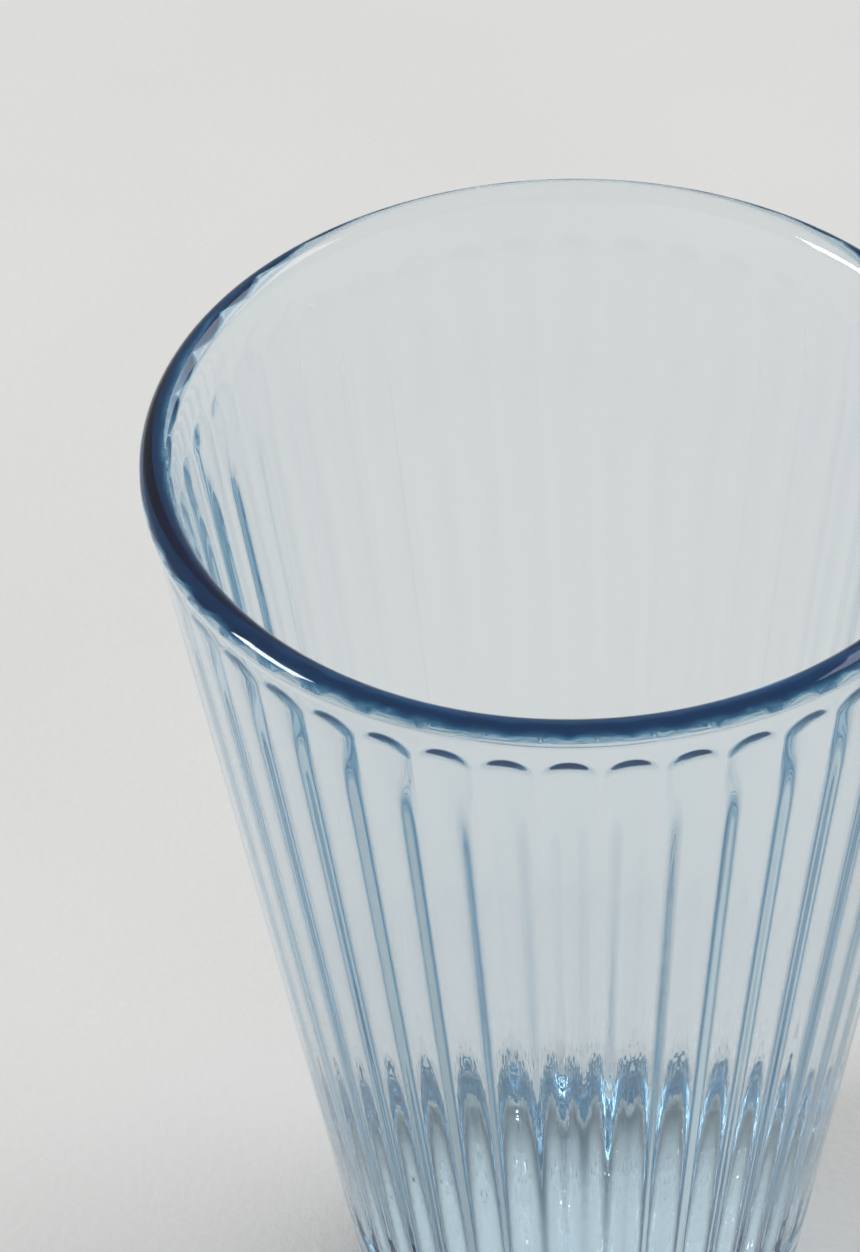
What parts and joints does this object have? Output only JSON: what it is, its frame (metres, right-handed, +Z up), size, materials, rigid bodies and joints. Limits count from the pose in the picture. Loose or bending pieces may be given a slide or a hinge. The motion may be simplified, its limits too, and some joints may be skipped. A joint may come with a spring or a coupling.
{
  "type": "chai glass",
  "caption": "Tall flared tea tumbler of pale blue pressed glass, smooth outside, with ribs raised on the inside, a smooth band under a rounded lip, and a thick bottom.",
  "frame": {"origin": "centre of the foot, on the table that the glass stands on", "axes": "+Z up along the glass's axis, towards the mouth; X and Y across"},
  "size_m": [0.08, 0.08, 0.12],
  "materials": {
    "blue_glass": "clear pale blue pressed glass, fire-polished"
  },
  "bodies": {
    "root": {"glass_body": "blue_glass"}
  },
  "joints": []
}
